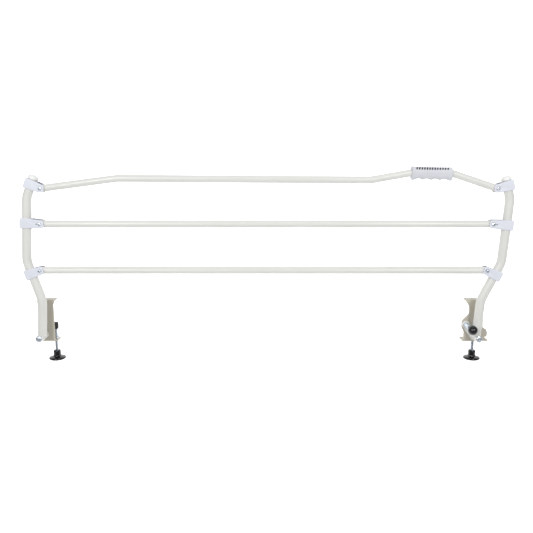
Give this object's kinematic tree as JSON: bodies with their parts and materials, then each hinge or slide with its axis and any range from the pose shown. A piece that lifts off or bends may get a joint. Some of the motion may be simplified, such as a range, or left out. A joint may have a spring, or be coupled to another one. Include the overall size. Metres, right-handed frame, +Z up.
{
  "type": "bed assist rail",
  "caption": "Three-bar folding bed rail on two bent uprights, with a moulded hand grip, a spring pin lock and screw clamps that hook over the bed's side tube.",
  "frame": {"origin": "midway between the two hook seats, on the line where the plates' bed side meets the hooks' undersides", "axes": "+X along the rail towards the lock end, +Y towards the bed, +Z up"},
  "size_m": [1.5264, 0.144, 0.6329],
  "materials": {
    "powder_coat": "satin powder coat",
    "bracket_paint": "satin powder coat",
    "knuckle_plastic": "moulded, semi-matt",
    "grip_plastic": "moulded, semi-matt",
    "cap_plastic": "moulded, semi-gloss",
    "nylon": "moulded",
    "zinc": "bright zinc plate",
    "spring_steel": "drawn wire",
    "black_plastic": "moulded, glossy",
    "rubber": "matt"
  },
  "bodies": {
    "brackets": {"left_bracket": "bracket_paint", "left_pivot_bolt": "zinc", "left_pivot_washer": "nylon", "left_pivot_nut": "zinc", "left_clamp_nut": "zinc", "right_bracket": "bracket_paint", "right_pivot_bolt": "zinc", "right_pivot_washer": "nylon", "right_pivot_nut": "zinc", "right_clamp_nut": "zinc"},
    "right_upright": {"right_upright_tube": "powder_coat", "right_pivot_sleeve": "powder_coat", "right_top_cap": "cap_plastic", "right_top_knuckle": "knuckle_plastic", "right_top_screw": "zinc", "right_top_screw_nut": "zinc", "right_middle_knuckle": "knuckle_plastic", "right_middle_screw": "zinc", "right_middle_screw_nut": "zinc", "right_lower_knuckle": "knuckle_plastic", "right_lower_screw": "zinc", "right_lower_screw_nut": "zinc", "lock_arm": "powder_coat", "lock_housing": "zinc", "lock_spring": "spring_steel"},
    "left_upright": {"left_upright_tube": "powder_coat", "left_pivot_sleeve": "powder_coat", "left_top_cap": "cap_plastic", "left_top_knuckle": "knuckle_plastic", "left_top_screw": "zinc", "left_top_screw_nut": "zinc", "left_middle_knuckle": "knuckle_plastic", "left_middle_screw": "zinc", "left_middle_screw_nut": "zinc", "left_lower_knuckle": "knuckle_plastic", "left_lower_screw": "zinc", "left_lower_screw_nut": "zinc"},
    "top_rail": {"top_rail_tube": "powder_coat", "top_rail_left_plug": "nylon", "top_rail_right_plug": "nylon", "grip_upper_shell": "grip_plastic", "grip_lower_shell": "grip_plastic"},
    "middle_rail": {"middle_rail_tube": "powder_coat", "middle_rail_left_plug": "nylon", "middle_rail_right_plug": "nylon"},
    "lower_rail": {"lower_rail_tube": "powder_coat", "lower_rail_left_plug": "nylon", "lower_rail_right_plug": "nylon"},
    "lock_pin": {"lock_pin": "zinc", "lock_ball_knob": "black_plastic"},
    "left_clamp_pad": {"left_clamp_tip": "rubber"},
    "left_clamp_screw": {"left_clamp_screw": "zinc", "left_clamp_knob": "black_plastic"},
    "right_clamp_pad": {"right_clamp_tip": "rubber"},
    "right_clamp_screw": {"right_clamp_screw": "zinc", "right_clamp_knob": "black_plastic"}
  },
  "joints": [
    {"name": "rail_fold", "type": "hinge", "parent": "brackets", "child": "right_upright", "pos_m": [0.6975, -0.04, -0.111], "axis": [0, 1, 0], "range_deg": [0, 68]},
    {"name": "left_upright_fold", "type": "hinge", "parent": "brackets", "child": "left_upright", "pos_m": [-0.6975, -0.04, -0.111], "axis": [0, 1, 0], "range_deg": [0, 68]},
    {"name": "top_rail_pivot", "type": "hinge", "parent": "right_upright", "child": "top_rail", "pos_m": [0.72901, -0.04, 0.36345], "axis": [0, 1, 0], "range_deg": [-68, 0]},
    {"name": "middle_rail_pivot", "type": "hinge", "parent": "right_upright", "child": "middle_rail", "pos_m": [0.72174, -0.04, 0.254], "axis": [0, 1, 0], "range_deg": [-68, 0]},
    {"name": "lower_rail_pivot", "type": "hinge", "parent": "right_upright", "child": "lower_rail", "pos_m": [0.71205, -0.04, 0.10802], "axis": [0, 1, 0], "range_deg": [-68, 0]},
    {"name": "lock_pull", "type": "slide", "parent": "right_upright", "child": "lock_pin", "axis": [0, -1, 0], "range_m": [0, 0.008], "stiffness_N_per_m": 900, "springref_m": -0.006, "deforming": ["lock_spring"]},
    {"name": "left_clamp_travel", "type": "slide", "parent": "brackets", "child": "left_clamp_pad", "axis": [0, 0, 1], "range_m": [-0.0221, 0.0341]},
    {"name": "left_clamp_turn", "type": "hinge", "parent": "left_clamp_pad", "child": "left_clamp_screw", "pos_m": [-0.6715, 0.02, -0.19], "axis": [0, 0, 1], "range_deg": [-5280, 8160]},
    {"name": "right_clamp_travel", "type": "slide", "parent": "brackets", "child": "right_clamp_pad", "axis": [0, 0, 1], "range_m": [-0.0221, 0.0341]},
    {"name": "right_clamp_turn", "type": "hinge", "parent": "right_clamp_pad", "child": "right_clamp_screw", "pos_m": [0.7055, 0.02, -0.19], "axis": [0, 0, 1], "range_deg": [-5280, 8160]}
  ],
  "couplings": [
    {"joint": "left_upright_fold", "follows": "rail_fold", "ratio": 1},
    {"joint": "top_rail_pivot", "follows": "rail_fold", "ratio": -1},
    {"joint": "middle_rail_pivot", "follows": "rail_fold", "ratio": -1},
    {"joint": "lower_rail_pivot", "follows": "rail_fold", "ratio": -1},
    {"joint": "left_clamp_travel", "follows": "left_clamp_turn", "m_per_rad": 0.00023873},
    {"joint": "right_clamp_travel", "follows": "right_clamp_turn", "m_per_rad": 0.00023873}
  ]
}
